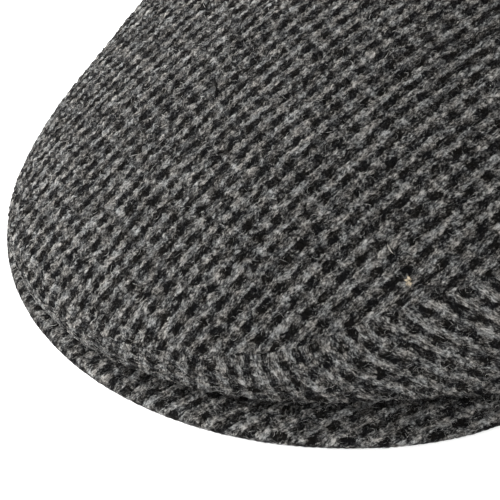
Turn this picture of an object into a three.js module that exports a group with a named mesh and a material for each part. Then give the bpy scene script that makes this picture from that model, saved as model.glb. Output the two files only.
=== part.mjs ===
// A flat cap in dogtooth tweed: a domed top panel, two side panels that meet at the centre
// front and centre back, and a stiff cloth-covered peak tucked under the crown's front lip.
// Millimetres and degrees, +Z up, the peak towards -Y, +X the wearer's left. The cap stands
// on z = 0 on the rim of its side panels and on the edge of its peak.
import * as THREE from "three";

// Driving sizes
const WALL = 2.2; // tweed with its backing
const GAP = 0.3; // between neighbouring pieces
const AXIS_Y = 6.5; // upright axis that the crown's stations turn about
const APEX = { y: 46.5, z: 88 }; // highest point of the crown
const LIP = { share: 0.07, power: 14 }; // last roll of the top panel into its seam
const SEAT = { on: 82, off: 92 }; // turn where the rim leaves the peak and reaches the ground

// Crown stations by turn from the front: where the seam between top and side panels runs,
// where the side panel ends below, how far its wall swells, and how late the top bends down.
const CROWN = [
  { turn: 0, seamReach: 137.0, seamHeight: 22.0, footReach: 124.0, bulge: 1.5, crest: 1.75 },
  { turn: 15, seamReach: 131.0, seamHeight: 23.6, footReach: 119.3, bulge: 1.5, crest: 1.8 },
  { turn: 30, seamReach: 116.5, seamHeight: 26.8, footReach: 111.2, bulge: 1.5, crest: 1.9 },
  { turn: 44, seamReach: 101.5, seamHeight: 35.0, footReach: 101.6, bulge: 1.5, crest: 2.0 },
  { turn: 58, seamReach: 93.8, seamHeight: 41.3, footReach: 93.8, bulge: 2.0, crest: 2.1 },
  { turn: 74, seamReach: 90.0, seamHeight: 46.0, footReach: 87.2, bulge: 2.5, crest: 2.2 },
  { turn: 100, seamReach: 95.5, seamHeight: 51.5, footReach: 84.2, bulge: 4.0, crest: 2.35 },
  { turn: 125, seamReach: 112.5, seamHeight: 55.5, footReach: 91.5, bulge: 7.0, crest: 2.5 },
  { turn: 150, seamReach: 121.6, seamHeight: 57.0, footReach: 98.0, bulge: 9.0, crest: 2.6 },
  { turn: 180, seamReach: 122.7, seamHeight: 56.0, footReach: 100.5, bulge: 9.0, crest: 2.6 },
];

// Peak stations by turn from the front about the centre of its round edge: reach of the edge,
// depth in from it, board thickness, and the angle at which it climbs inwards.
const PEAK_CENTRE_Y = -31.5;
const PEAK_TIP = 102;
const PEAK = [
  { turn: 0, edge: 92.0, depth: 35, thickness: 3.6, climb: 16 },
  { turn: 50, edge: 92.0, depth: 29, thickness: 3.6, climb: 10 },
  { turn: 86, edge: 92.0, depth: 14, thickness: 3.0, climb: 6 },
  { turn: PEAK_TIP, edge: 84.0, depth: 4, thickness: 2.0, climb: 3 },
];
// The covered edge is rounded over this much, its upright band lies between these shares of
// the thickness, and its flat underside, which meets the ground, is this wide.
const PEAK_EDGE = { round: 1.2, bandTop: 0.7, bandFoot: 0.3, flat: 3 };

// How finely the curved walls are cut into facets
const STEPS = { round: 60, topRings: 12, sideRows: 6, peakRound: 44, peakRows: 4 };
const PROBE = 0.01; // step for measuring a surface's slope

const rad = THREE.MathUtils.degToRad;

// A smooth curve through one column of a station table, level at its first and last row.
function column(rows, name) {
  const last = rows.length - 1;
  const slopes = rows.map((row, i) => {
    if (i === 0 || i === last) return 0;
    const before = rows[i - 1];
    const after = rows[i + 1];
    return (after[name] - before[name]) / (after.turn - before.turn);
  });
  return (turn) => {
    const at = Math.min(Math.abs(turn), rows[last].turn);
    let i = 0;
    while (i < last - 1 && at > rows[i + 1].turn) i += 1;
    const span = rows[i + 1].turn - rows[i].turn;
    const t = (at - rows[i].turn) / span;
    const u = 1 - t;
    const ends = (1 + 2 * t) * u * u * rows[i][name] + t * t * (3 - 2 * t) * rows[i + 1][name];
    return ends + t * u * span * (u * slopes[i] - t * slopes[i + 1]);
  };
}

const crown = Object.fromEntries(
  Object.keys(CROWN[0]).map((name) => [name, column(CROWN, name)]),
);
const peak = Object.fromEntries(
  Object.keys(PEAK[0]).map((name) => [name, column(PEAK, name)]),
);

// A point at a reach and turn about an upright axis.
function polar(axisY, reach, turn, z) {
  const a = rad(turn);
  return new THREE.Vector3(reach * Math.sin(a), axisY - reach * Math.cos(a), z);
}

// Height of the peak's upper face above the ground, at a distance in from its edge.
function peakTop(turn, inward) {
  return peak.thickness(turn) + inward * Math.tan(rad(peak.climb(turn)));
}

// Height of the crown's rim over a point of the plan: on the peak in front, on the ground behind.
function rimHeight(x, y, turn) {
  const peakTurn = THREE.MathUtils.radToDeg(Math.atan2(Math.abs(x), PEAK_CENTRE_Y - y));
  const inward = peak.edge(peakTurn) - Math.hypot(x, y - PEAK_CENTRE_Y);
  const seated = 1 - THREE.MathUtils.smoothstep(Math.abs(turn), SEAT.on, SEAT.off);
  return seated * (peakTop(peakTurn, Math.max(inward, 0)) + GAP);
}

function seam(turn) {
  return polar(AXIS_Y, crown.seamReach(turn), turn, crown.seamHeight(turn));
}

function foot(turn, inset) {
  const p = polar(AXIS_Y, crown.footReach(turn) - inset, turn, 0);
  return p.setZ(rimHeight(p.x, p.y, turn));
}

// Outer face of the top panel: share 0 at the apex, 1 at the seam.
function topFace(share, turn) {
  const edge = seam(turn);
  const bend = (1 - LIP.share) * share ** crown.crest(turn) + LIP.share * share ** LIP.power;
  return new THREE.Vector3(
    edge.x * share,
    APEX.y + (edge.y - APEX.y) * share,
    APEX.z - (APEX.z - edge.z) * bend,
  );
}

// Outer face of a side panel: share 0 at the seam, 1 at the rim.
function sideFace(share, turn) {
  const swell = crown.bulge(turn) * 4 * share * (1 - share);
  const wall = seam(turn).lerp(foot(turn, 0), share);
  return wall.add(polar(0, swell, turn, 0));
}

// Outward unit normal of a face, from two short steps along it.
function normalOf(face, share, turn) {
  const ahead = Math.min(share + PROBE, 1);
  const down = face(ahead, turn).sub(face(ahead - PROBE, turn));
  const along = face(share, turn + PROBE).sub(face(share, turn - PROBE));
  return down.cross(along).normalize();
}

// Inner corner of the mitre where the top and side walls meet.
function mitre(turn) {
  const a = normalOf(topFace, 1, turn);
  const b = normalOf(sideFace, 0, turn);
  const inward = WALL / (1 + a.dot(b));
  return seam(turn).addScaledVector(a.add(b), -inward);
}

// A geometry from points and triangles.
function geometryOf(points, faces) {
  const geometry = new THREE.BufferGeometry().setFromPoints(points);
  geometry.setIndex(faces.flat());
  geometry.computeVertexNormals();
  return geometry;
}

// Two triangles for a four-cornered facet.
const quad = (a, b, c, d) => [
  [a, b, c],
  [a, c, d],
];

// A solid through closed sections with as many points each, with a flat cap on each end.
function loft(sections) {
  const size = sections[0].length;
  const faces = [];
  for (let s = 0; s + 1 < sections.length; s += 1) {
    for (let k = 0; k < size; k += 1) {
      const next = (k + 1) % size;
      const here = s * size;
      const there = here + size;
      faces.push(...quad(here + k, here + next, there + next, there + k));
    }
  }
  const end = (sections.length - 1) * size;
  for (let k = 0; k + 1 < size / 2; k += 1) {
    const mate = size - 1 - k;
    faces.push(...quad(k, mate, mate - 1, k + 1));
    faces.push(...quad(end + k, end + k + 1, end + mate - 1, end + mate));
  }
  return geometryOf(sections.flat(), faces);
}

// The top panel: an outer and an inner dome joined along the seam.
function crownTop() {
  const { round, topRings } = STEPS;
  const outer = [new THREE.Vector3(0, APEX.y, APEX.z)];
  const inner = [new THREE.Vector3(0, APEX.y, APEX.z - WALL)];
  for (let ring = 1; ring <= topRings; ring += 1) {
    const share = ring / topRings;
    for (let step = 0; step < round; step += 1) {
      const turn = -180 + (360 * step) / round;
      const p = topFace(share, turn);
      outer.push(p);
      const under = p.clone().addScaledVector(normalOf(topFace, share, turn), -WALL);
      inner.push(ring < topRings ? under : mitre(turn));
    }
  }
  const count = outer.length;
  const at = (ring, step) => (ring === 0 ? 0 : 1 + (ring - 1) * round + (step % round));
  const faces = [];
  for (let step = 0; step < round; step += 1) {
    faces.push([0, at(1, step), at(1, step + 1)]);
    faces.push([count, count + at(1, step + 1), count + at(1, step)]);
    for (let ring = 1; ring < topRings; ring += 1) {
      const [a, b] = [at(ring, step), at(ring + 1, step)];
      const [c, d] = [at(ring + 1, step + 1), at(ring, step + 1)];
      faces.push(...quad(a, b, c, d));
      faces.push(...quad(count + a, count + d, count + c, count + b));
    }
    const [e, f] = [at(topRings, step), at(topRings, step + 1)];
    faces.push(...quad(e, count + e, count + f, f));
  }
  return geometryOf([...outer, ...inner], faces);
}

// One side panel, from the centre front to the centre back on the wearer's left.
function sidePanel() {
  const { round, sideRows } = STEPS;
  const drop = new THREE.Vector3(0, 0, -GAP);
  const sections = [];
  for (let step = 0; step <= round / 2; step += 1) {
    const turn = (360 * step) / round;
    const outer = [];
    const inner = [];
    for (let row = 0; row <= sideRows; row += 1) {
      const share = row / sideRows;
      const p = sideFace(share, turn);
      const under = p.clone().addScaledVector(normalOf(sideFace, share, turn), -WALL);
      const first = row === 0;
      const last = row === sideRows;
      outer.push(first ? p.add(drop) : p);
      inner.push(first ? mitre(turn).add(drop) : last ? foot(turn, WALL) : under);
    }
    const section = [...outer, ...inner.reverse()];
    section.forEach((p) => p.setX(Math.max(p.x, GAP / 2)));
    sections.push(section);
  }
  return loft(sections);
}

// The peak: a covered board with a rounded edge, climbing inwards under the crown.
function peakBoard() {
  const { peakRound, peakRows } = STEPS;
  const sections = [];
  for (let step = 0; step <= peakRound; step += 1) {
    const turn = PEAK_TIP * ((2 * step) / peakRound - 1);
    const edge = peak.edge(turn);
    const depth = peak.depth(turn);
    const slope = Math.tan(rad(peak.climb(turn)));
    const under = (inward) => Math.max(0, (inward - PEAK_EDGE.flat) * slope);
    const place = (inward, z) => polar(PEAK_CENTRE_Y, edge - inward, turn, z);
    const upper = [place(0, peak.thickness(turn) * PEAK_EDGE.bandTop)];
    const lower = [place(0, peak.thickness(turn) * PEAK_EDGE.bandFoot)];
    for (let row = 0; row <= peakRows; row += 1) {
      const inward = THREE.MathUtils.lerp(PEAK_EDGE.round, depth, row / peakRows);
      upper.push(place(inward, peakTop(turn, inward)));
      lower.push(place(inward, under(inward)));
    }
    sections.push([...upper.reverse(), ...lower]);
  }
  return loft(sections);
}

// Average greys of the cloth on each panel
const GREY = { top: 0x626263, side: 0x565657, peak: 0x4c4c4d };

// Woven wool, rough and without gloss
function cloth(colour) {
  return new THREE.MeshStandardMaterial({ color: colour, roughness: 0.95, metalness: 0 });
}

function piece(name, geometry, colour) {
  const mesh = new THREE.Mesh(geometry, cloth(colour));
  mesh.name = name;
  return mesh;
}

const cap = new THREE.Group();
cap.add(piece("crown_top", crownTop(), GREY.top));
cap.add(piece("side_left", sidePanel(), GREY.side));
const sideRight = piece("side_right", sidePanel(), GREY.side);
sideRight.scale.x = -1;
cap.add(sideRight);
cap.add(piece("peak", peakBoard(), GREY.peak));

export default cap;
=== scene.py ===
"""A flat cap in dogtooth tweed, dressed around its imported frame: woven panels with real yarn
relief, wool fuzz, a plain floor, soft light and a camera at the photograph's angle."""

import math
from types import SimpleNamespace

import bmesh
import bpy
import numpy as np
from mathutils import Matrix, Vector


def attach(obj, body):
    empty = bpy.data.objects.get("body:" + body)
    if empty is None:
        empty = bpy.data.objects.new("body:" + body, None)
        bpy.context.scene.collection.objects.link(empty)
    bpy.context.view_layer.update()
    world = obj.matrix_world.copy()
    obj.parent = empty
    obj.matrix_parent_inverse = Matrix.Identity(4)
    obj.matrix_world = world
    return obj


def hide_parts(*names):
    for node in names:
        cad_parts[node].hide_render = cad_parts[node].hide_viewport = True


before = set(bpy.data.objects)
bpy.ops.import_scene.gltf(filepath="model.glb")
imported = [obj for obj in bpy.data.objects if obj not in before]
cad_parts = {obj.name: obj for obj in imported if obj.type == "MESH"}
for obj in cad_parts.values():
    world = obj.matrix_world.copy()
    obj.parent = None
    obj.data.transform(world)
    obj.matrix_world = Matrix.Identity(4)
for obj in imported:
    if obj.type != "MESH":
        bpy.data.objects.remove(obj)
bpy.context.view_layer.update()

# Lengths are in millimetres and angles in degrees until a mesh is made, which is in metres.
MM = 0.001

# Shape of the cap, as its solids have it
WALL = 2.2
GAP = 0.3
AXIS_Y = 6.5
APEX_Y = 46.5
APEX_Z = 88.0
LIP_SHARE = 0.07
LIP_POWER = 14
SEAT_ON = 82
SEAT_OFF = 92
CROWN_COLUMNS = ("turn", "seam_reach", "seam_height", "foot_reach", "bulge", "crest")
CROWN = (
    (0, 137.0, 22.0, 124.0, 1.5, 1.75),
    (15, 131.0, 23.6, 119.3, 1.5, 1.8),
    (30, 116.5, 26.8, 111.2, 1.5, 1.9),
    (44, 101.5, 35.0, 101.6, 1.5, 2.0),
    (58, 93.8, 41.3, 93.8, 2.0, 2.1),
    (74, 90.0, 46.0, 87.2, 2.5, 2.2),
    (100, 95.5, 51.5, 84.2, 4.0, 2.35),
    (125, 112.5, 55.5, 91.5, 7.0, 2.5),
    (150, 121.6, 57.0, 98.0, 9.0, 2.6),
    (180, 122.7, 56.0, 100.5, 9.0, 2.6),
)
PEAK_CENTRE_Y = -31.5
PEAK_RADIUS = 92.0
PEAK_TIP = 102
PEAK_COLUMNS = ("turn", "edge", "depth", "thickness", "climb")
PEAK = (
    (0, PEAK_RADIUS, 35, 3.6, 16),
    (50, PEAK_RADIUS, 29, 3.6, 10),
    (86, PEAK_RADIUS, 14, 3.0, 6),
    (PEAK_TIP, 84.0, 4, 2.0, 3),
)
PEAK_FLAT = 3.0

# The cloth: pitch of the yarns along and across the rows, and how far they stand up
PITCH_U = 1.7
PITCH_V = 1.36
RELIEF = 0.75

# The twill: yarns in its repeat and in a float, how square a yarn is across, and how high a float
# is at its ends
REPEAT = 4
FLOAT = 2
CREST_POWER = 0.7
FLOAT_END = 0.35

# How far the yarns stray and swell, over how many yarns, and the seeds of that for each panel
WANDER = SimpleNamespace(reach=0.3, long=3, short=2)
SWELL = SimpleNamespace(share=0.25, length=1.5)
WANDER_SEED = {"top": 11, "side": 21, "peak": 31}
SWELL_SEED = {"top": 13, "side": 23, "peak": 33}

# How far and how widely the cloth turns in along the seams, at the rim and at the centre seams
ROLL = SimpleNamespace(seam_depth=1.3, seam_width=2.6, end_depth=1.2, end_width=1.5)
FOLD = SimpleNamespace(radius=1.3, lift=0.7, depth=2.6)

# Painted shade in the fold where the crown sits on the peak: how dark the cloth's colour is made there,
# and how far that reaches up the side panels and out over the peak
PAINTED_CREASE_SHADE = SimpleNamespace(dark=0.5, up=2.6, out=2.0)

# How much relief is left along the edge of the peak, and where the press begins and ends
PRESS = SimpleNamespace(left=0.3, start=1.5, end=7.0)

# How far the lower edge of the side panels stands out over the peak
OVERHANG_COLUMNS = ("turn", "reach")
OVERHANG = ((0, 1.0), (45, 1.0), (56, 2.5), (66, 5.0), (82, 2.5), (95, 0), (180, 0))

# Angle of the rows below the side panels' level line, by turn about the peak's centre
GRAIN_COLUMNS = ("turn", "angle")
GRAIN = ((0, 106), (15, 105), (27, 97), (39, 76), (51, 49), (63, 35), (75, 34), (100, 32), (180, 30))

# How each panel's cloth is eased off its straight lay: the shift in yarns at its middle, and how it
# grows with the place along and across the rows. These numbers weren't chosen by hand: an optimiser
# matched the weave with the photograph's rows, and its result was rounded to half yarns.
EASE_COLUMNS = ("shift", "by_u", "by_v", "by_uu", "by_uv", "by_vv")
EASE = {
    "top": ((-0.5, 1, -3.5, 0, 0, -7), (1, 3, 6, -1.5, 0.5, -4.5)),
    "side": ((-0.5, -6, 2.5, -4, -7, -8), (0.5, -4, 1.5, -5, -1, 2)),
    "peak": ((-1.5, 0, 1, 6.5, -14, 3.5), (1.5, -1.5, -0.5, -2.5, 11.5, -9)),
}
EASE_MIDDLE = {"top": (-74, 18), "side": (-8, 65), "peak": (-52, 40)}
EASE_UNIT = 40.0
EASE_REACH = 1.5

# Places in plan of a tan fleck and of a few coarse pale hairs in the top panel, and their reach
TAN_FLECK = (68.7, -56.7)
TAN_REACH = 1.0
PALE_FLECK = (60.9, -57.2)
PALE_REACH = 0.5

# Mesh steps
EDGE_COUNT = 5761
YARN_PARTS = 2
LEVEL_COUNT = 2000
SIDE_STEP = 0.5
SIDE_ROWS = 84
SIDE_CROWDING = 1.3
INNER_ROWS = 5
INNER_RINGS = (0.93, 0.75, 0.5, 0.22)
PEAK_STEP = 0.5
PEAK_CROWDING = 1.3
UPPER_ROWS = 52
ROUND_ROWS = 9
LOWER_ROWS = 14
PROBE = 0.01

# Camera: the photograph's view of the cap
IMAGE_WIDTH = 137.1
AZIMUTH = 56
ELEVATION = 38
TARGET = (-12.65, -53.45, -1.3)
DISTANCE = 6000.0
SENSOR = 36.0


# Surfaces of the cap


def smoothstep(value, low, high):
    t = np.clip((value - low) / (high - low), 0, 1)
    return t * t * (3 - 2 * t)


def stations(columns, rows):
    """A smooth function of turn through each column of a station table, level at both ends."""
    data = np.array(rows, float)
    turns = data[:, 0]

    def curve(values):
        slopes = np.zeros(len(values))
        slopes[1:-1] = (values[2:] - values[:-2]) / (turns[2:] - turns[:-2])

        def at(turn):
            here = np.clip(np.abs(turn), turns[0], turns[-1])
            i = np.clip(np.searchsorted(turns, here, side="right") - 1, 0, len(turns) - 2)
            span = turns[i + 1] - turns[i]
            t = (here - turns[i]) / span
            s = 1 - t
            ends = (1 + 2 * t) * s * s * values[i] + t * t * (3 - 2 * t) * values[i + 1]
            return ends + t * s * span * (s * slopes[i] - t * slopes[i + 1])

        return at

    return SimpleNamespace(**{name: curve(data[:, k]) for k, name in enumerate(columns) if k})


crown = stations(CROWN_COLUMNS, CROWN)
peak = stations(PEAK_COLUMNS, PEAK)
grain = stations(GRAIN_COLUMNS, GRAIN)
overhang = stations(OVERHANG_COLUMNS, OVERHANG)


def unit(vectors):
    return vectors / np.linalg.norm(vectors, axis=-1, keepdims=True)


def polar(axis_y, reach, turn, z):
    a = np.radians(turn)
    x, y = reach * np.sin(a), axis_y - reach * np.cos(a)
    return np.stack(np.broadcast_arrays(x, y, z), axis=-1)


def peak_top(turn, inward):
    return peak.thickness(turn) + inward * np.tan(np.radians(peak.climb(turn)))


def rim_height(x, y, turn):
    peak_turn = np.degrees(np.arctan2(np.abs(x), PEAK_CENTRE_Y - y))
    inward = peak.edge(peak_turn) - np.hypot(x, y - PEAK_CENTRE_Y)
    seated = 1 - smoothstep(np.abs(turn), SEAT_ON, SEAT_OFF)
    return seated * (peak_top(peak_turn, np.maximum(inward, 0)) + GAP)


def seam(turn):
    return polar(AXIS_Y, crown.seam_reach(turn), turn, crown.seam_height(turn))


def foot(turn, inset):
    p = polar(AXIS_Y, crown.foot_reach(turn) + overhang.reach(turn) - inset, turn, 0.0)
    z = rim_height(p[..., 0], p[..., 1], turn)
    return np.stack([p[..., 0], p[..., 1], z], axis=-1)


def side_face(share, turn):
    """Outer face of a side panel: share 0 at the seam, 1 at the rim."""
    swell = crown.bulge(turn) * 4 * share * (1 - share)
    down = np.asarray(share)[..., None]
    return seam(turn) * (1 - down) + foot(turn, 0.0) * down + polar(0.0, swell, turn, 0.0)


def top_face(share, turn):
    """Outer face of the top panel: share 0 at the apex, 1 at the seam."""
    edge = seam(turn)
    bend = (1 - LIP_SHARE) * share ** crown.crest(turn) + LIP_SHARE * share**LIP_POWER
    x = edge[..., 0] * share
    y = APEX_Y + (edge[..., 1] - APEX_Y) * share
    z = APEX_Z - (APEX_Z - edge[..., 2]) * bend
    return np.stack([x, y, z], axis=-1)


def normal_of(face, share, turn):
    """Outward unit normals of a face, from two short steps along it."""
    ahead = np.clip(share + PROBE / 2, PROBE, 1)
    down = face(ahead, turn) - face(ahead - PROBE, turn)
    along = face(share, turn + PROBE) - face(share, turn - PROBE)
    return unit(np.cross(down, along))


def seam_bisector(turn):
    """Direction out of the cap between the top and side panels where they meet."""
    one = np.ones_like(turn)
    return unit(normal_of(top_face, one, turn) + normal_of(side_face, 0 * one, turn))


# Plan of the top panel's edge, seen from the apex
EDGE_TURNS = np.linspace(-180, 180, EDGE_COUNT)
EDGE = seam(EDGE_TURNS)
EDGE_ANGLES = np.arctan2(EDGE[:, 0], APEX_Y - EDGE[:, 1])
EDGE_ANGLES[0], EDGE_ANGLES[-1] = -math.pi, math.pi
EDGE_RADII = np.hypot(EDGE[:, 0], EDGE[:, 1] - APEX_Y)


def dome(x, y):
    """The top panel over a point of the plan: its height, its turn and how far in from the seam."""
    angle = np.arctan2(x, APEX_Y - y)
    turn = np.interp(angle, EDGE_ANGLES, EDGE_TURNS)
    radius = np.interp(angle, EDGE_ANGLES, EDGE_RADII)
    share = np.hypot(x, y - APEX_Y) / radius
    bend = (1 - LIP_SHARE) * share ** crown.crest(turn) + LIP_SHARE * share**LIP_POWER
    height = APEX_Z - (APEX_Z - crown.seam_height(turn)) * bend
    return SimpleNamespace(z=height, turn=turn, inset=(1 - share) * radius)


# The cloth


def bilinear(table, row, column):
    """Values between the entries of a table, at fractional rows and columns."""
    short_of_end = 1.001
    row = np.clip(row, 0, table.shape[0] - short_of_end)
    column = np.clip(column, 0, table.shape[1] - short_of_end)
    i, j = row.astype(int), column.astype(int)
    f, g = row - i, column - j
    near = table[i, j] * (1 - g) + table[i, j + 1] * g
    far = table[i + 1, j] * (1 - g) + table[i + 1, j + 1] * g
    return near * (1 - f) + far * f


class TopCloth:
    """Lays the top panel's cloth on the dome. Columns lie in planes across the cap, and rows run
    from front to back, each as far from the next along the cloth as it was woven."""

    STEP = 0.5
    MARGIN = 1.0

    def __init__(self):
        front, back = EDGE[:, 1].min(), EDGE[:, 1].max()
        self.y = np.arange(front - self.MARGIN, back + self.MARGIN, self.STEP)
        self.x = np.arange(0, EDGE[:, 0].max() + 2 * self.MARGIN, self.STEP)
        profile = dome(np.zeros_like(self.y), self.y).z
        self.u = np.concatenate([[0], np.cumsum(np.hypot(np.diff(self.y), np.diff(profile)))])
        self.u -= np.interp(APEX_Y, self.y, self.u)
        height = dome(self.x[None, :], self.y[:, None]).z
        steps = np.hypot(self.STEP, np.diff(height, axis=1))
        self.across = np.pad(np.cumsum(steps, axis=1), ((0, 0), (1, 0)))
        self.v = np.arange(0, self.across.max(), self.STEP)
        self.back = np.array([np.interp(self.v, lengths, self.x) for lengths in self.across])

    def unroll(self, x, y):
        row = (y - self.y[0]) / self.STEP
        v = bilinear(self.across, row, np.abs(x) / self.STEP)
        return np.interp(y, self.y, self.u), np.copysign(v, x)

    def lay(self, u, v):
        y = np.interp(u, self.u, self.y)
        x = bilinear(self.back, (y - self.y[0]) / self.STEP, np.abs(v) / self.STEP)
        return np.copysign(x, v), y


def easing(panel, u, v):
    """Shifts in yarns, along and across the rows, of a panel's cloth from its straight lay."""
    middle = EASE_MIDDLE[panel]
    a, b = (
        EASE_REACH * np.tanh((place - centre) / (EASE_UNIT * EASE_REACH))
        for place, centre in zip((u, v), middle)
    )
    return [
        r.shift + r.by_u * a + r.by_v * b + r.by_uu * a * a + r.by_uv * a * b + r.by_vv * b * b
        for r in (SimpleNamespace(**dict(zip(EASE_COLUMNS, row))) for row in EASE[panel])
    ]


def eased(panel, u, v):
    """Yarn coordinates of a panel's cloth as sewn, from those of its straight lay."""
    shift_u, shift_v = easing(panel, u, v)
    return u + shift_u, v + shift_v


def straightened(panel, u, v):
    """Yarn coordinates in the straight lay, from those of the cloth as sewn."""
    rounds = 24
    lay_u, lay_v = u, v
    for _ in range(rounds):
        shift_u, shift_v = easing(panel, lay_u, lay_v)
        lay_u, lay_v = u - shift_u, v - shift_v
    return lay_u, lay_v


def value_noise(x, y, seed):
    """Smooth seeded noise between -1 and 1 with one bump per unit."""
    size = 64
    lattice = np.random.default_rng(seed).uniform(-1, 1, (size, size))
    i, j = np.floor(x).astype(int), np.floor(y).astype(int)
    f, g = x - i, y - j
    f, g = f * f * (3 - 2 * f), g * g * (3 - 2 * g)
    i, j = i % size, j % size
    after_i, after_j = (i + 1) % size, (j + 1) % size
    near = lattice[i, j] * (1 - g) + lattice[i, after_j] * g
    far = lattice[after_i, j] * (1 - g) + lattice[after_i, after_j] * g
    return near * (1 - f) + far * f


def wander(u, v, seed):
    """How far the yarns stray from their straight lines, along and across the rows."""
    shift_u = WANDER.reach * value_noise(u / WANDER.long, v / WANDER.short, seed)
    shift_v = WANDER.reach * value_noise(u / WANDER.short, v / WANDER.long, seed + 1)
    return shift_u, shift_v


def weave_height(u, v):
    """Relief of the two-and-two twill at yarn coordinates: 1 on a float's crown, 0 in a groove."""
    c, r = np.floor(u), np.floor(v)
    fu, fv = u - c, v - r
    phase = (c - r) % REPEAT
    row_on_top = phase < FLOAT
    along_column = (r - c - 1) % REPEAT + fv
    along = np.where(row_on_top, phase + fu, along_column)
    across = np.where(row_on_top, fv, fu)
    crest = np.maximum(1 - (2 * across - 1) ** 2, 0) ** CREST_POWER
    arch = np.sin(np.clip(along, 0, FLOAT) * math.pi / FLOAT)
    return crest * (FLOAT_END + (1 - FLOAT_END) * arch)


def relief(u, v, seed):
    """How far the surface lies below the yarns' highest crowns."""
    swell = 1 + SWELL.share * value_noise(u / SWELL.length, v / SWELL.length, seed)
    return RELIEF * (weave_height(u, v) * swell - 1)


# Meshes


def make_object(name, points, faces, uv, material, painted_shade=1.0):
    """A smooth closed mesh from points in millimetres, faces, and each point's yarn coordinates
    and painted shade: a factor that darkens the colour where shade is painted, 1 where none is."""
    mesh = bpy.data.meshes.new(name)
    sizes = np.array([len(face) for face in faces], np.int32)
    corners = np.concatenate([np.asarray(face, np.int32) for face in faces])
    mesh.vertices.add(len(points))
    mesh.vertices.foreach_set("co", (np.asarray(points) * MM).astype(np.float32).ravel())
    mesh.loops.add(len(corners))
    mesh.loops.foreach_set("vertex_index", corners)
    mesh.polygons.add(len(sizes))
    starts = np.concatenate([[0], np.cumsum(sizes)[:-1]]).astype(np.int32)
    mesh.polygons.foreach_set("loop_start", starts)
    mesh.polygons.foreach_set("use_smooth", np.ones(len(sizes), bool))
    layer = mesh.uv_layers.new(name="weave")
    layer.data.foreach_set("uv", np.asarray(uv, np.float32)[corners].ravel())
    # Painted shade for each point, read by the tweed's colour
    painted_shades = mesh.attributes.new("painted_shade", "FLOAT", "POINT")
    painted_shades.data.foreach_set("value", np.broadcast_to(painted_shade, len(points)).astype(np.float32))
    mesh.update()
    mesh.validate()
    shape = bmesh.new()
    shape.from_mesh(mesh)
    bmesh.ops.recalc_face_normals(shape, faces=shape.faces)
    shape.to_mesh(mesh)
    shape.free()
    mesh.materials.append(material)
    piece = bpy.data.objects.new(name, mesh)
    bpy.context.scene.collection.objects.link(piece)
    return piece


def grid_quads(rows, columns, start=0):
    """Quads of a grid whose points are stored row by row."""
    i, j = np.meshgrid(np.arange(rows - 1), np.arange(columns - 1), indexing="ij")
    a = start + i * columns + j
    return np.stack([a, a + columns, a + columns + 1, a + 1], axis=-1).reshape(-1, 4)


def grid_normals(grid):
    """Unit normals of a grid of points."""
    return unit(np.cross(np.gradient(grid, axis=0), np.gradient(grid, axis=1)))


def flat_area(u, v):
    return abs(np.sum(u * np.roll(v, -1) - v * np.roll(u, -1))) / 2


def ordered_loop(quads):
    """Points of a mesh's open edge, in order."""
    edges = np.concatenate([np.stack([quads[:, k], quads[:, (k + 1) % 4]], axis=-1) for k in range(4)])
    keys = edges.min(axis=1).astype(np.int64) * (quads.max() + 1) + edges.max(axis=1)
    _, first, uses = np.unique(keys, return_index=True, return_counts=True)
    following = {int(a): int(b) for a, b in edges[first[uses == 1]]}
    start = next(iter(following))
    loop = [start]
    while following[loop[-1]] != start:
        loop.append(following[loop[-1]])
    return np.array(loop)


def snap_to_edge(loop, u, v, edge_u, edge_v):
    """Places on the panel's edge for its outermost grid points, in order round the edge."""
    around = len(edge_u) - 1
    places = np.array([np.argmin((edge_u - u[k]) ** 2 + (edge_v - v[k]) ** 2) for k in loop])

    def jumps(here):
        return (np.diff(here, append=here[0]) + around // 2) % around - around // 2

    if jumps(places).sum() < 0:
        loop, places = loop[::-1], places[::-1]
    steps = np.arange(len(places))
    unwound = places[0] + np.concatenate([[0], np.cumsum(jumps(places)[:-1])])
    unwound = np.maximum.accumulate(unwound - steps) + steps
    return loop, unwound % around


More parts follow.
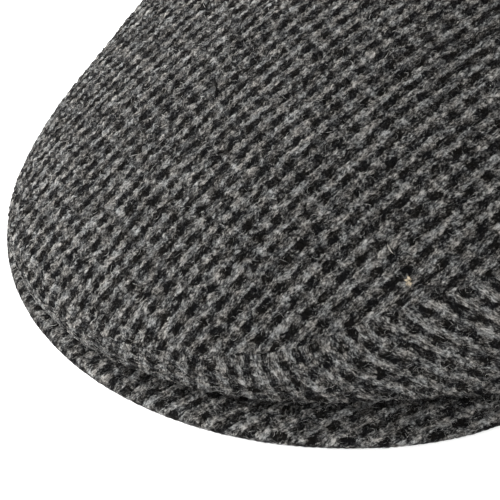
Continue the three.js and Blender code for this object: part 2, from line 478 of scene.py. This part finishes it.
def top_panel(material):
    """The top panel: a grid of half yarns trimmed to the seam, with a plain inner face."""
    cloth = TopCloth()
    edge_u, edge_v = cloth.unroll(EDGE[:, 0], EDGE[:, 1])
    edge_yarn = np.stack(eased("top", edge_u / PITCH_U, edge_v / PITCH_V), axis=-1)
    low = np.floor(edge_yarn.min(axis=0) * YARN_PARTS)
    high = np.ceil(edge_yarn.max(axis=0) * YARN_PARTS)
    i, j = (np.arange(low[k], high[k] + 1) for k in (0, 1))
    yarn_u, yarn_v = (place / YARN_PARTS for place in np.meshgrid(i, j, indexing="ij"))
    shift_u, shift_v = wander(yarn_u, yarn_v, WANDER_SEED["top"])
    lay_u, lay_v = straightened("top", yarn_u, yarn_v)
    u, v = lay_u * PITCH_U + shift_u, lay_v * PITCH_V + shift_v
    inside = dome(*cloth.lay(u, v)).inset > 0
    whole = inside[:-1, :-1] & inside[1:, :-1] & inside[:-1, 1:] & inside[1:, 1:]
    kept, quads = np.unique(grid_quads(len(i), len(j))[whole.ravel()], return_inverse=True)
    quads = quads.reshape(-1, 4)
    u, v = u.ravel()[kept], v.ravel()[kept]
    yarn = np.stack([yarn_u.ravel()[kept], yarn_v.ravel()[kept]], axis=-1)
    loop, places = snap_to_edge(ordered_loop(quads), u, v, edge_u, edge_v)
    yarn[loop] = edge_yarn[places]
    x, y = cloth.lay(u, v)
    x[loop], y[loop] = EDGE[places, 0], EDGE[places, 1]
    here = dome(x, y)
    slope_x = dome(x + PROBE, y).z - dome(x - PROBE, y).z
    slope_y = dome(x, y + PROBE).z - dome(x, y - PROBE).z
    normals = unit(np.stack([-slope_x, -slope_y, np.full_like(x, 2 * PROBE)], axis=-1))
    depth = ROLL.seam_depth * np.exp(-np.maximum(here.inset, 0) / ROLL.seam_width)
    points = np.stack([x, y, here.z], axis=-1) - seam_bisector(here.turn) * depth[:, None]
    points += normals * relief(*yarn.T, SWELL_SEED["top"])[:, None]

    inner_rim = points[loop] - seam_bisector(here.turn[loop]) * WALL
    base, count = len(points), len(loop)
    inner, inner_faces = inner_dome(inner_rim, base)
    ahead = np.roll(np.arange(count), -1)
    strip = np.stack([loop, loop[ahead], base + ahead, base + np.arange(count)], axis=-1)
    faces = [*quads, *strip, *inner_faces]
    inner_u, inner_v = cloth.unroll(inner[:, 0], inner[:, 1])
    uv = np.concatenate([yarn, np.stack([inner_u / PITCH_U, inner_v / PITCH_V], axis=-1)])
    piece = make_object("crown_top_cloth", np.concatenate([points, inner]), faces, uv, material)
    cut = (np.ptp(edge_v), np.ptp(edge_u), flat_area(edge_u, edge_v))
    return piece, cut, SimpleNamespace(points=points, normals=normals)


def inner_dome(rim, base):
    """Points and faces of the top panel's plain inner face, in rings from the rim in to the apex.
    Its points are numbered from base."""
    apex = np.array([0.0, APEX_Y])
    plan = np.concatenate([apex + (rim[:, :2] - apex) * share for share in INNER_RINGS] + [[apex]])
    z = dome(plan[:, 0], plan[:, 1]).z - WALL - RELIEF
    points = np.concatenate([rim, np.column_stack([plan, z])])
    count = len(rim)
    here = np.arange(count)
    ahead = np.roll(here, -1)
    faces = []
    for ring in range(len(INNER_RINGS)):
        a, b = base + ring * count, base + (ring + 1) * count
        faces += [*np.stack([a + here, a + ahead, b + ahead, b + here], axis=-1)]
    last = base + len(INNER_RINGS) * count
    tip = np.full(count, base + len(points) - 1)
    faces += [*np.stack([last + here, last + ahead, tip], axis=-1)]
    return points, faces


def painted_crease_shade(distance, turn):
    """Painted shade of the cloth by its distance from the fold between crown and peak, as a share of how
    far
    the painted dark reaches: the colour is darkened where the fold's shade falls."""
    seated = 1 - smoothstep(np.abs(turn), SEAT_ON, SEAT_OFF)
    return 1 - (1 - PAINTED_CREASE_SHADE.dark) * seated * (1 - smoothstep(distance, 0.0, 1.0))


def side_panels(material):
    """The two side panels: a fine grid from the front seam to the back, and its mirror image."""
    turns = np.linspace(0, 180, LEVEL_COUNT)
    middle = side_face(np.full_like(turns, 0.5), turns)
    length = np.concatenate([[0], np.cumsum(np.linalg.norm(np.diff(middle, axis=0), axis=1))])
    count = round(length[-1] / SIDE_STEP) + 1
    along = np.linspace(0, length[-1], count)
    turn = np.interp(along, length, turns)
    share, turn = np.meshgrid(1 - np.linspace(1, 0, SIDE_ROWS) ** SIDE_CROWDING, turn)
    grid = side_face(share, turn)
    normals = -grid_normals(grid)
    height = np.linalg.norm(np.diff(grid, axis=1), axis=2).sum(axis=1)[:, None]

    middle = side_face(np.full(count, 0.5), turn[:, 0])
    peak_turn = np.degrees(np.arctan2(middle[:, 0], PEAK_CENTRE_Y - middle[:, 1]))
    angle = np.radians(grain.angle(peak_turn))
    step = along[1]
    back = np.cumsum(np.cos(angle)) * step
    rise = np.cumsum(np.sin(angle)) * step
    down = (share - 0.5) * height
    u = (-back[:, None] - down * np.sin(angle)[:, None]) / PITCH_U
    v = (rise[:, None] - down * np.cos(angle)[:, None]) / PITCH_V
    cut_u, cut_v = u * PITCH_U, v * PITCH_V
    u, v = eased("side", u, v)
    shift_u, shift_v = wander(u, v, WANDER_SEED["side"])
    u, v = u + shift_u / PITCH_U, v + shift_v / PITCH_V

    ends = np.minimum(along, length[-1] - along)[:, None]
    seam_roll = ROLL.seam_depth * np.exp(-share * height / ROLL.seam_width)
    above = (1 - share) * height - FOLD.lift
    bend = 1 - np.clip(above / FOLD.radius, 0, 1)
    under = (FOLD.depth - FOLD.radius) * np.clip(-above / FOLD.lift, 0, 1)
    edge_roll = FOLD.radius * (1 - np.sqrt(1 - bend**2)) + under
    end_roll = ROLL.end_depth * np.exp(-ends / ROLL.end_width)
    sunk = relief(u, v, SWELL_SEED["side"]) - edge_roll - end_roll
    points = grid + normals * sunk[..., None] - seam_bisector(turn) * seam_roll[..., None]
    points[..., 2] = np.maximum(points[..., 2], 0)
    points[..., 0] = np.maximum(points[..., 0], GAP / 2)

    inner_share, inner_turn = np.meshgrid(np.linspace(0, 1, INNER_ROWS), turn[:, 0])
    inner = side_face(inner_share, inner_turn)
    inner += grid_normals(inner) * (WALL + RELIEF)
    inner[:, 0] = points[:, 0] - seam_bisector(turn[:, 0]) * WALL
    inner[:, -1] = foot(turn[:, 0], WALL + FOLD.depth)
    inner[..., 0] = np.maximum(inner[..., 0], GAP / 2)

    base = points.shape[0] * SIDE_ROWS
    outer_at = np.arange(base).reshape(-1, SIDE_ROWS)
    inner_at = base + np.arange(count * INNER_ROWS).reshape(-1, INNER_ROWS)
    faces = [*grid_quads(count, SIDE_ROWS), *grid_quads(count, INNER_ROWS, base)]
    for a, b in ((outer_at[:, 0], inner_at[:, 0]), (outer_at[:, -1], inner_at[:, -1])):
        faces += [*np.stack([a[:-1], a[1:], b[1:], b[:-1]], axis=-1)]
    for end in (0, -1):
        faces.append(np.concatenate([outer_at[end], inner_at[end, ::-1]]))
    shell = np.concatenate([points.reshape(-1, 3), inner.reshape(-1, 3)])
    uv = np.stack([u, v], axis=-1)
    inner_uv = uv[:, np.searchsorted(share[0], np.linspace(0, 1, INNER_ROWS))]
    uv = np.concatenate([uv.reshape(-1, 2), inner_uv.reshape(-1, 2)])
    # Painted shade: the cloth's colour darkens towards the fold where the crown sits on the peak
    painted_shade = painted_crease_shade((1 - share) * height / PAINTED_CREASE_SHADE.up, turn).ravel()
    painted_shade = np.concatenate([painted_shade, np.ones(count * INNER_ROWS)])

    outline = np.concatenate([outer_at[:, 0], outer_at[::-1, -1]])
    cut = np.stack([cut_u.ravel()[outline], cut_v.ravel()[outline]], axis=-1)
    chord = unit(cut[count - 1] - cut[0])
    lengthwise, crosswise = cut @ chord, cut @ (-chord[1], chord[0])
    cut = (np.ptp(crosswise), np.ptp(lengthwise), flat_area(lengthwise, crosswise))
    made = []
    for name, mirror in (("side_left_cloth", 1), ("side_right_cloth", -1)):
        piece = make_object(name, shell * (mirror, 1, 1), faces, uv * (1, mirror), material, painted_shade)
        surface = SimpleNamespace(
            points=points.reshape(-1, 3) * (mirror, 1, 1),
            normals=normals.reshape(-1, 3) * (mirror, 1, 1),
        )
        made.append((piece, cut, surface))
    return made


def peak_cover(material):
    """The peak's cover: closed sections over, round and under the board."""
    sections = round(2 * math.radians(PEAK_TIP) * PEAK_RADIUS / PEAK_STEP)
    turn = np.linspace(-PEAK_TIP, PEAK_TIP, sections)[:, None]
    edge, depth, thickness = peak.edge(turn), peak.depth(turn), peak.thickness(turn)
    radius = thickness / 2
    slope = np.tan(np.radians(peak.climb(turn)))
    upper_shares = np.linspace(1, 0, UPPER_ROWS)[None, :-1] ** PEAK_CROWDING
    upper_in = radius + (depth - radius) * upper_shares
    bend = np.radians(np.linspace(90, -90, ROUND_ROWS))[None, :]
    round_in = radius * (1 - np.cos(bend))
    lower_in = radius + (depth - radius) * np.linspace(0, 1, LOWER_ROWS)[None, 1:]
    round_z = radius * (1 + np.sin(bend)) + np.maximum(np.sin(bend), 0) * round_in * slope
    inward = np.concatenate([upper_in, round_in, lower_in], axis=1)
    lower_z = np.maximum(0, (lower_in - PEAK_FLAT) * slope)
    z = np.concatenate([peak_top(turn, upper_in), round_z, lower_z], axis=1)
    grid = polar(PEAK_CENTRE_Y, edge - inward, turn, z)
    normals = -grid_normals(grid)
    steps = np.linalg.norm(np.diff(grid, axis=1), axis=2)
    girth = np.concatenate([np.zeros_like(turn), np.cumsum(steps, axis=1)], axis=1)
    girth -= girth[:, UPPER_ROWS - 1 + ROUND_ROWS // 2][:, None]
    laid = polar(PEAK_CENTRE_Y, edge + girth, turn, 0.0)
    u, v = eased("peak", laid[..., 1] / PITCH_U, laid[..., 0] / PITCH_V)
    shift_u, shift_v = wander(u, v, WANDER_SEED["peak"])
    u, v = u + shift_u / PITCH_U, v + shift_v / PITCH_V
    pressed = PRESS.left + (1 - PRESS.left) * smoothstep(inward, PRESS.start, PRESS.end)
    points = grid + normals * (relief(u, v, SWELL_SEED["peak"]) * pressed)[..., None]
    points[..., 2] = np.maximum(points[..., 2], 0)
    count, rows = points.shape[:2]
    at = np.arange(count * rows).reshape(count, rows)
    closing = np.stack([at[:-1, -1], at[1:, -1], at[1:, 0], at[:-1, 0]], axis=-1)
    faces = [*grid_quads(count, rows), *closing, at[0], at[-1]]
    uv = np.stack([u, v], axis=-1).reshape(-1, 2)
    crown_turn = np.degrees(np.arctan2(grid[..., 0], AXIS_Y - grid[..., 1]))
    beyond = np.hypot(grid[..., 0], grid[..., 1] - AXIS_Y)
    beyond -= crown.foot_reach(crown_turn) + overhang.reach(crown_turn)
    # Painted shade: the peak's colour darkens just outside the fold under the crown
    painted_shade = painted_crease_shade(beyond / PAINTED_CREASE_SHADE.out, crown_turn)
    painted_shade[:, UPPER_ROWS:] = 1
    piece = make_object("peak_cloth", points.reshape(-1, 3), faces, uv, material, painted_shade.ravel())
    shown = slice(0, UPPER_ROWS + ROUND_ROWS)
    return piece, SimpleNamespace(
        points=points[:, shown].reshape(-1, 3), normals=normals[:, shown].reshape(-1, 3)
    )


# Materials


class Graph:
    """Short calls for building a material's nodes."""

    def __init__(self, name):
        self.material = bpy.data.materials.new(name)
        self.material.use_nodes = True
        self.nodes = self.material.node_tree.nodes
        self.links = self.material.node_tree.links
        self.shader = self.nodes["Principled BSDF"]

    def feed(self, socket, value):
        if isinstance(value, bpy.types.NodeSocket):
            self.links.new(value, socket)
        else:
            socket.default_value = value

    def node(self, kind, *inputs, output=0, **settings):
        made = self.nodes.new("ShaderNode" + kind)
        for key, value in settings.items():
            setattr(made, key, value)
        for socket, value in zip([s for s in made.inputs if s.enabled], inputs):
            self.feed(socket, value)
        return made.outputs[output]

    def math(self, operation, *inputs):
        return self.node("Math", *inputs, operation=operation)

    def vector(self, operation, *inputs):
        return self.node("VectorMath", *inputs, operation=operation)

    def noise(self, vector, scale, detail, roughness, output=0):
        made = self.nodes.new("ShaderNodeTexNoise")
        made.noise_dimensions = "2D"
        self.feed(made.inputs["Vector"], vector)
        self.feed(made.inputs["Scale"], scale)
        self.feed(made.inputs["Detail"], detail)
        self.feed(made.inputs["Roughness"], roughness)
        return made.outputs[output]

    def stretched(self, vector, angle, scale):
        made = self.nodes.new("ShaderNodeMapping")
        self.feed(made.inputs["Vector"], vector)
        self.feed(made.inputs["Rotation"], (0, 0, math.radians(angle)))
        self.feed(made.inputs["Scale"], (*scale, 1))
        return made.outputs[0]

    def ramp(self, value, *stops):
        made = self.nodes.new("ShaderNodeValToRGB")
        self.feed(made.inputs[0], value)
        elements = made.color_ramp.elements
        while len(elements) < len(stops):
            elements.new(0.5)
        for element, (place, colour) in zip(elements, stops):
            element.position = place
            element.color = (*colour, 1)
        return made.outputs[0]

    def weighted(self, *terms, constant=0.0):
        """The sum of values times their weights, and a constant."""
        total = constant
        for value, weight in terms:
            total = self.math("MULTIPLY_ADD", value, weight, total)
        return total

    def curls(self, vector, scale):
        """Thin curling lines, bright on black."""
        detail, roughness, sharpness = 1.5, 0.6, 22.0
        noise = self.noise(vector, scale, detail, roughness)
        off_line = self.math("ABSOLUTE", self.math("SUBTRACT", noise, 0.5))
        return self.math("MAXIMUM", self.math("MULTIPLY_ADD", off_line, -sharpness, 1.0), 0.0)

    def mix_number(self, factor, a, b):
        """a where factor is 0, b where it is 1."""
        return self.math("ADD", self.math("MULTIPLY", self.math("SUBTRACT", b, a), factor), a)

    def mix_colour(self, factor, a, b, blend="MIX"):
        made = self.nodes.new("ShaderNodeMix")
        made.data_type = "RGBA"
        made.blend_type = blend
        factor_in, a_in, b_in, colour_out = 0, 6, 7, 2
        self.feed(made.inputs[factor_in], factor)
        self.feed(made.inputs[a_in], a)
        self.feed(made.inputs[b_in], b)
        return made.outputs[colour_out]


# How ragged the yarns' edges are, and what makes a place pale: the yarn on top, the row yarn there,
# and either of the two that cross
RAGGED = 2.4
SHARE = SimpleNamespace(top=0.25, row=0.25, either=0.5)

# Which rows of a repeat are pale, by their middle and reach, and how many columns, from the first
PALE_ROWS = (1.5, 1.0)
PALE_COLUMNS = 2

# Greys of the cloth by its tone
TONES = ((0.10, 0.0036), (0.34, 0.0160), (0.55, 0.060), (0.75, 0.130), (0.95, 0.205))

# Noises in the cloth, per yarn: scale, detail and roughness
NOISE = SimpleNamespace(
    ragged=(0.7, 3.0, 0.65),
    fibres=(1.0, 2.0, 0.8),
    grain=(2.2, 1.0, 0.6),
    blotch=(0.6, 2.0, 0.8),
    areas=(0.15, 1.0, 0.5),
    hairs=(3.0, 1.0, 0.6),
    drift=(0.45, 1.0, 0.5),
)

# Fibres lie at an angle to their yarn, and are longer than wide
LEAN = SimpleNamespace(fibres=20, streaks=-15, hairs=40)
FIBRE_STRETCH = (1.0, 2.6)
HAIR_STRETCH = (1.0, 3.0)
CURL_SCALE = 1.3
STREAK_SCALE = 0.8

# Weights in the tone of the cloth and in the height of its finest relief, and the painted shade that
# darkens its colour in the grooves by the height of the yarns' crowns
TONE_BASE = -1.76
TONE_WEIGHTS = SimpleNamespace(
    pale=0.49, fibres=1.1, grain=0.45, blotch=1.35, areas=0.3, curls=0.20, streaks=0.20, hairs=0.3
)
HEIGHT_WEIGHTS = SimpleNamespace(fibres=0.8, grain=0.5, curls=0.3, crown=0.8)
PAINTED_GROOVE_SHADE = SimpleNamespace(base=0.68, crown=0.45)
BUMP = SimpleNamespace(strength=0.8, distance=0.4)

# Tints between which pale and dark yarns drift, how steeply they do, and how soon a tone is pale
DRIFT = SimpleNamespace(base=-0.8, slope=2.6)
PALENESS = 2.0
PALE_TINTS = ((0.0, (0.985, 1.0, 0.985)), (1.0, (1.055, 1.005, 0.935)))
DARK_TINTS = ((0.0, (0.985, 0.965, 1.06)), (1.0, (1.08, 0.985, 0.91)))


def tweed_material():
    """Dogtooth tweed: a two-and-two twill of two pale and two dark yarns each way, felted."""
    g = Graph("tweed")
    yarn = g.node("UVMap", uv_map="weave")
    ragged = g.noise(yarn, *NOISE.ragged, output=1)
    push = g.vector("MULTIPLY", g.vector("SUBTRACT", ragged, (0.5, 0.5, 0.5)), (RAGGED, RAGGED, 0))
    split = g.nodes.new("ShaderNodeSeparateXYZ")
    g.feed(split.inputs[0], g.vector("ADD", yarn, push))
    u, v = split.outputs[0], split.outputs[1]
    column = g.math("FLOORED_MODULO", g.math("FLOOR", u), REPEAT)
    row = g.math("FLOORED_MODULO", g.math("FLOOR", v), REPEAT)
    phase = g.math("FLOORED_MODULO", g.math("SUBTRACT", column, row), REPEAT)
    row_on_top = g.math("LESS_THAN", phase, FLOAT - 0.5)
    row_pale = g.math("COMPARE", row, *PALE_ROWS)
    column_pale = g.math("LESS_THAN", column, PALE_COLUMNS - 0.5)
    top_pale = g.mix_number(row_on_top, column_pale, row_pale)
    either_pale = g.math("MAXIMUM", row_pale, column_pale)
    pale = g.weighted((top_pale, SHARE.top), (row_pale, SHARE.row), (either_pale, SHARE.either))

    row_fibres = g.noise(g.stretched(yarn, LEAN.fibres, FIBRE_STRETCH), *NOISE.fibres)
    column_fibres = g.noise(g.stretched(yarn, LEAN.fibres + 90, FIBRE_STRETCH), *NOISE.fibres)
    fibres = g.mix_number(row_on_top, column_fibres, row_fibres)
    grain_noise = g.noise(yarn, *NOISE.grain)
    blotch = g.noise(yarn, *NOISE.blotch)
    areas = g.noise(yarn, *NOISE.areas)
    curls = g.curls(yarn, CURL_SCALE)
    streaks = g.curls(g.stretched(yarn, LEAN.streaks, FIBRE_STRETCH), STREAK_SCALE)
    hairs = g.noise(g.stretched(yarn, LEAN.hairs, HAIR_STRETCH), *NOISE.hairs)
    tone = g.weighted(
        (pale, TONE_WEIGHTS.pale),
        (fibres, TONE_WEIGHTS.fibres),
        (grain_noise, TONE_WEIGHTS.grain),
        (blotch, TONE_WEIGHTS.blotch),
        (areas, TONE_WEIGHTS.areas),
        (curls, TONE_WEIGHTS.curls),
        (streaks, TONE_WEIGHTS.streaks),
        (hairs, TONE_WEIGHTS.hairs),
        constant=TONE_BASE,
    )
    grey = g.ramp(tone, *((place, (value, value, value)) for place, value in TONES))
    drift = g.weighted((g.noise(yarn, *NOISE.drift), DRIFT.slope), constant=DRIFT.base)
    paleness = g.math("MULTIPLY", tone, PALENESS)
    tint = g.mix_colour(paleness, g.ramp(drift, *DARK_TINTS), g.ramp(drift, *PALE_TINTS))
    colour = g.mix_colour(1.0, grey, tint, "MULTIPLY")

    across = g.mix_number(row_on_top, g.math("FRACT", u), g.math("FRACT", v))
    off_crest = g.math("SUBTRACT", g.math("MULTIPLY", across, 2.0), 1.0)
    crest = g.math("SUBTRACT", 1.0, g.math("POWER", g.math("ABSOLUTE", off_crest), 2.0))
    along_row = g.math("ADD", phase, g.math("FRACT", u))
    crossing = g.math("SUBTRACT", g.math("SUBTRACT", row, column), 1.0)
    along_column = g.math("ADD", g.math("FLOORED_MODULO", crossing, REPEAT), g.math("FRACT", v))
    along = g.mix_number(row_on_top, along_column, along_row)
    arch = g.math("SINE", g.math("MULTIPLY", along, math.pi / FLOAT))
    float_height = g.weighted((arch, 1 - FLOAT_END), constant=FLOAT_END)
    crown_height = g.math("MULTIPLY", crest, float_height)
    # Painted shade: the colour darkens in the grooves between yarns and towards the floats' ends
    painted_shade = g.weighted((crown_height, PAINTED_GROOVE_SHADE.crown), constant=PAINTED_GROOVE_SHADE.base)
    # Painted shade of the fold where the crown sits on the peak, from each point's attribute
    painted_shade = g.math("MULTIPLY", painted_shade, g.node("Attribute", attribute_name="painted_shade", output=2))
    colour = g.mix_colour(1.0, colour, painted_shade, "MULTIPLY")
    g.feed(g.shader.inputs["Base Color"], colour)

    height = g.weighted(
        (fibres, HEIGHT_WEIGHTS.fibres),
        (grain_noise, HEIGHT_WEIGHTS.grain),
        (curls, HEIGHT_WEIGHTS.curls),
        (crown_height, HEIGHT_WEIGHTS.crown),
    )
    bump = g.nodes.new("ShaderNodeBump")
    bump.inputs["Strength"].default_value = BUMP.strength
    bump.inputs["Distance"].default_value = BUMP.distance * MM
    g.feed(bump.inputs["Height"], height)
    g.feed(g.shader.inputs["Normal"], bump.outputs[0])
    g.shader.inputs["Roughness"].default_value = 0.95
    g.shader.inputs["Specular IOR Level"].default_value = 0.0
    g.shader.inputs["Sheen Weight"].default_value = 0.05
    g.shader.inputs["Sheen Roughness"].default_value = 0.1
    return g.material


# Greys of the loose fibres, from the darkest to the palest, and the tan of some
WOOL_GREYS = ((0.0, (0.015, 0.015, 0.015)), (0.5, (0.12, 0.12, 0.117)), (1.0, (0.38, 0.375, 0.36)))
WOOL_TAN = (0.56, 0.43, 0.24, 1)


def fuzz_material():
    """Loose wool fibres. The texture coordinate keeps each one's grey and whether it is tan."""
    g = Graph("fuzz")
    split = g.nodes.new("ShaderNodeSeparateXYZ")
    g.feed(split.inputs[0], g.node("UVMap", uv_map="weave"))
    grey = g.ramp(split.outputs[0], *WOOL_GREYS)
    g.feed(g.shader.inputs["Base Color"], g.mix_colour(split.outputs[1], grey, WOOL_TAN))
    g.shader.inputs["Roughness"].default_value = 0.8
    g.shader.inputs["Specular IOR Level"].default_value = 0.2
    return g.material


# Fibres: their lengths, how high they arch, how far they curl, their thickness, how deep their ends
# lie, and how far those that share a heading stray from it
FIBRE = SimpleNamespace(
    lengths=(0.8, 3.2), lifts=(0.05, 0.35), curl=0.35, thickness=(0.02, 0.04), sink=0.1, spread=0.2
)
STRAND_SIDES = 3
STRAND_RINGS = (0.0, 0.25, 0.5, 0.75, 1.0)


def strand_faces():
    """Faces of one strand, by the numbers of its points from tip to tip."""
    inner = len(STRAND_RINGS) - 2
    tip = 1 + STRAND_SIDES * inner
    last = tip - STRAND_SIDES
    faces = []
    for k in range(STRAND_SIDES):
        n = (k + 1) % STRAND_SIDES
        faces.append((0, 1 + k, 1 + n))
        for ring in range(inner - 1):
            a = 1 + STRAND_SIDES * ring
            b = a + STRAND_SIDES
            faces.append((a + k, b + k, b + n, a + n))
        faces.append((tip, last + n, last + k))
    return faces


def fuzz(name, surface, count, seed, material, tan=0.0, lengths=FIBRE.lengths, coarse=1.0, heading=None):
    """Loose fibres lying on a panel, as thin three-sided strands that taper to both ends."""
    rng = np.random.default_rng(seed)
    picked = rng.integers(0, len(surface.points), count)
    root, normal = surface.points[picked], surface.normals[picked]
    toward = unit(rng.normal(size=(count, 3)))
    if heading is not None:
        toward = unit(heading) + toward * FIBRE.spread
    aside = unit(np.cross(normal, toward))
    ahead = np.cross(normal, aside)
    length = rng.uniform(*lengths, count)[:, None]
    lift = rng.uniform(*FIBRE.lifts, count)[:, None]
    curl = rng.normal(0, FIBRE.curl / coarse, count)[:, None] * length
    thick = rng.uniform(*FIBRE.thickness, count)[:, None] * coarse
    spine = [
        root + ahead * length * (t - 0.5) + aside * curl * (4 * t * (1 - t) - 0.5)
        + normal * (lift * 4 * t * (1 - t) - FIBRE.sink)
        for t in STRAND_RINGS
    ]
    corners = [spine[0]]
    for centre in spine[1:-1]:
        for k in range(STRAND_SIDES):
            a = 2 * math.pi * k / STRAND_SIDES
            corners.append(centre + (aside * math.cos(a) + normal * math.sin(a)) * thick)
    corners.append(spine[-1])
    points = np.stack(corners, axis=1)
    size = points.shape[1]
    starts = np.arange(count)[:, None] * size
    faces = []
    for face in strand_faces():
        faces += [*(starts + np.array(face))]
    darkest = 1.0 if tan else 0.0
    tone = np.repeat(rng.uniform(darkest, 1, count), size)
    points[..., 2] += np.maximum(-points[..., 2].min(axis=1), 0)[:, None]
    uv = np.stack([tone, np.full_like(tone, tan)], axis=-1)
    return make_object(name, points.reshape(-1, 3), faces, uv, material)


def patch(surface, place, reach):
    """The part of a panel's surface within reach of a place of the plan."""
    near = np.hypot(*(surface.points[:, :2] - place).T) < reach
    return SimpleNamespace(points=surface.points[near], normals=surface.normals[near])


# The cap

tweed = tweed_material()
wool = fuzz_material()
top, top_cut, top_surface = top_panel(tweed)
(left, side_cut, left_surface), (right, _, right_surface) = side_panels(tweed)
board, board_surface = peak_cover(tweed)
dressed = ((top, "crown_top"), (left, "side_left"), (right, "side_right"), (board, "peak"))
for piece, node in dressed:
    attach(piece, "root")
    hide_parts(node)

tan_spot = patch(top_surface, TAN_FLECK, TAN_REACH)
pale_spot = patch(top_surface, PALE_FLECK, PALE_REACH)
down_the_cloth = tan_spot.points.mean(axis=0) - pale_spot.points.mean(axis=0)

# Loose fibres: name, surface, how many, seed, and where they differ from the common ones
SHORT_TAN = {"tan": 0.6, "lengths": (0.6, 1.8)}
LONG_PALE = {"tan": 0.12, "lengths": (3.0, 4.2), "coarse": 2.5, "heading": down_the_cloth}
FUZZ = (
    ("crown_top_fuzz", top_surface, 9000, 41, {}),
    ("side_left_fuzz", left_surface, 3500, 42, {}),
    ("side_right_fuzz", right_surface, 3500, 43, {}),
    ("peak_fuzz", board_surface, 3000, 44, {}),
    ("tan_fleck", tan_spot, 60, 45, SHORT_TAN),
    ("pale_fleck", pale_spot, 3, 46, LONG_PALE),
)
for name, surface, count, seed, looks in FUZZ:
    strands = fuzz(name, surface, count, seed, wool, **looks)
    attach(strands, "root")


# Stage

FLOOR_HALF = 2.0
FLOOR_GREY = 0.95
WORLD_STRENGTH = 0.5
BEHIND_RISE = 0.45
CLIP_END = 100


def make_floor():
    corners = [(-FLOOR_HALF, -FLOOR_HALF, 0), (FLOOR_HALF, -FLOOR_HALF, 0)]
    corners += [(FLOOR_HALF, FLOOR_HALF, 0), (-FLOOR_HALF, FLOOR_HALF, 0)]
    mesh = bpy.data.meshes.new("floor")
    mesh.from_pydata(corners, [], [(0, 1, 2, 3)])
    g = Graph("pale_floor")
    g.shader.inputs["Base Color"].default_value = (FLOOR_GREY, FLOOR_GREY, FLOOR_GREY, 1)
    g.shader.inputs["Roughness"].default_value = 0.9
    mesh.materials.append(g.material)
    floor = bpy.data.objects.new("floor", mesh)
    bpy.context.scene.collection.objects.link(floor)


# Directions: from the cap to the camera, right and up in the picture, and low behind the cap
ACROSS, AHEAD = math.sin(math.radians(AZIMUTH)), math.cos(math.radians(AZIMUTH))
LEVEL, RISE = math.cos(math.radians(ELEVATION)), math.sin(math.radians(ELEVATION))
BACK = Vector((ACROSS * LEVEL, -AHEAD * LEVEL, RISE))
RIGHT = Vector((AHEAD, ACROSS, 0))
UP = BACK.cross(RIGHT)
BEHIND = Vector((-ACROSS, AHEAD, BEHIND_RISE))


def make_camera():
    data = bpy.data.cameras.new("camera")
    data.sensor_width = SENSOR
    data.lens = SENSOR * DISTANCE / IMAGE_WIDTH
    data.clip_end = CLIP_END
    camera = bpy.data.objects.new("camera", data)
    camera.location = Vector(TARGET) * MM + BACK * DISTANCE * MM
    camera.rotation_euler = BACK.to_track_quat("Z", "Y").to_euler()
    bpy.context.scene.collection.objects.link(camera)
    bpy.context.scene.camera = camera


def make_light(name, offset, size, power):
    data = bpy.data.lights.new(name, "AREA")
    data.shape = "DISK"
    data.size = size
    data.energy = power
    light = bpy.data.objects.new(name, data)
    light.location = Vector(TARGET) * MM + offset
    light.rotation_euler = offset.to_track_quat("Z", "Y").to_euler()
    bpy.context.scene.collection.objects.link(light)


def make_world():
    world = bpy.data.worlds.new("studio")
    world.use_nodes = True
    background = world.node_tree.nodes["Background"]
    background.inputs["Color"].default_value = (1, 1, 1, 1)
    background.inputs["Strength"].default_value = WORLD_STRENGTH
    bpy.context.scene.world = world


make_floor()
make_camera()
make_world()
make_light("front", BACK * 0.95 - UP * 0.15 - RIGHT * 0.1, size=0.6, power=14)
make_light("edge", -RIGHT + UP * 0.3 + BACK * 0.05, size=0.5, power=36.5)
make_light("behind", BEHIND + RIGHT * 0.25, size=0.6, power=14)
bpy.context.scene.view_settings.view_transform = "Standard"
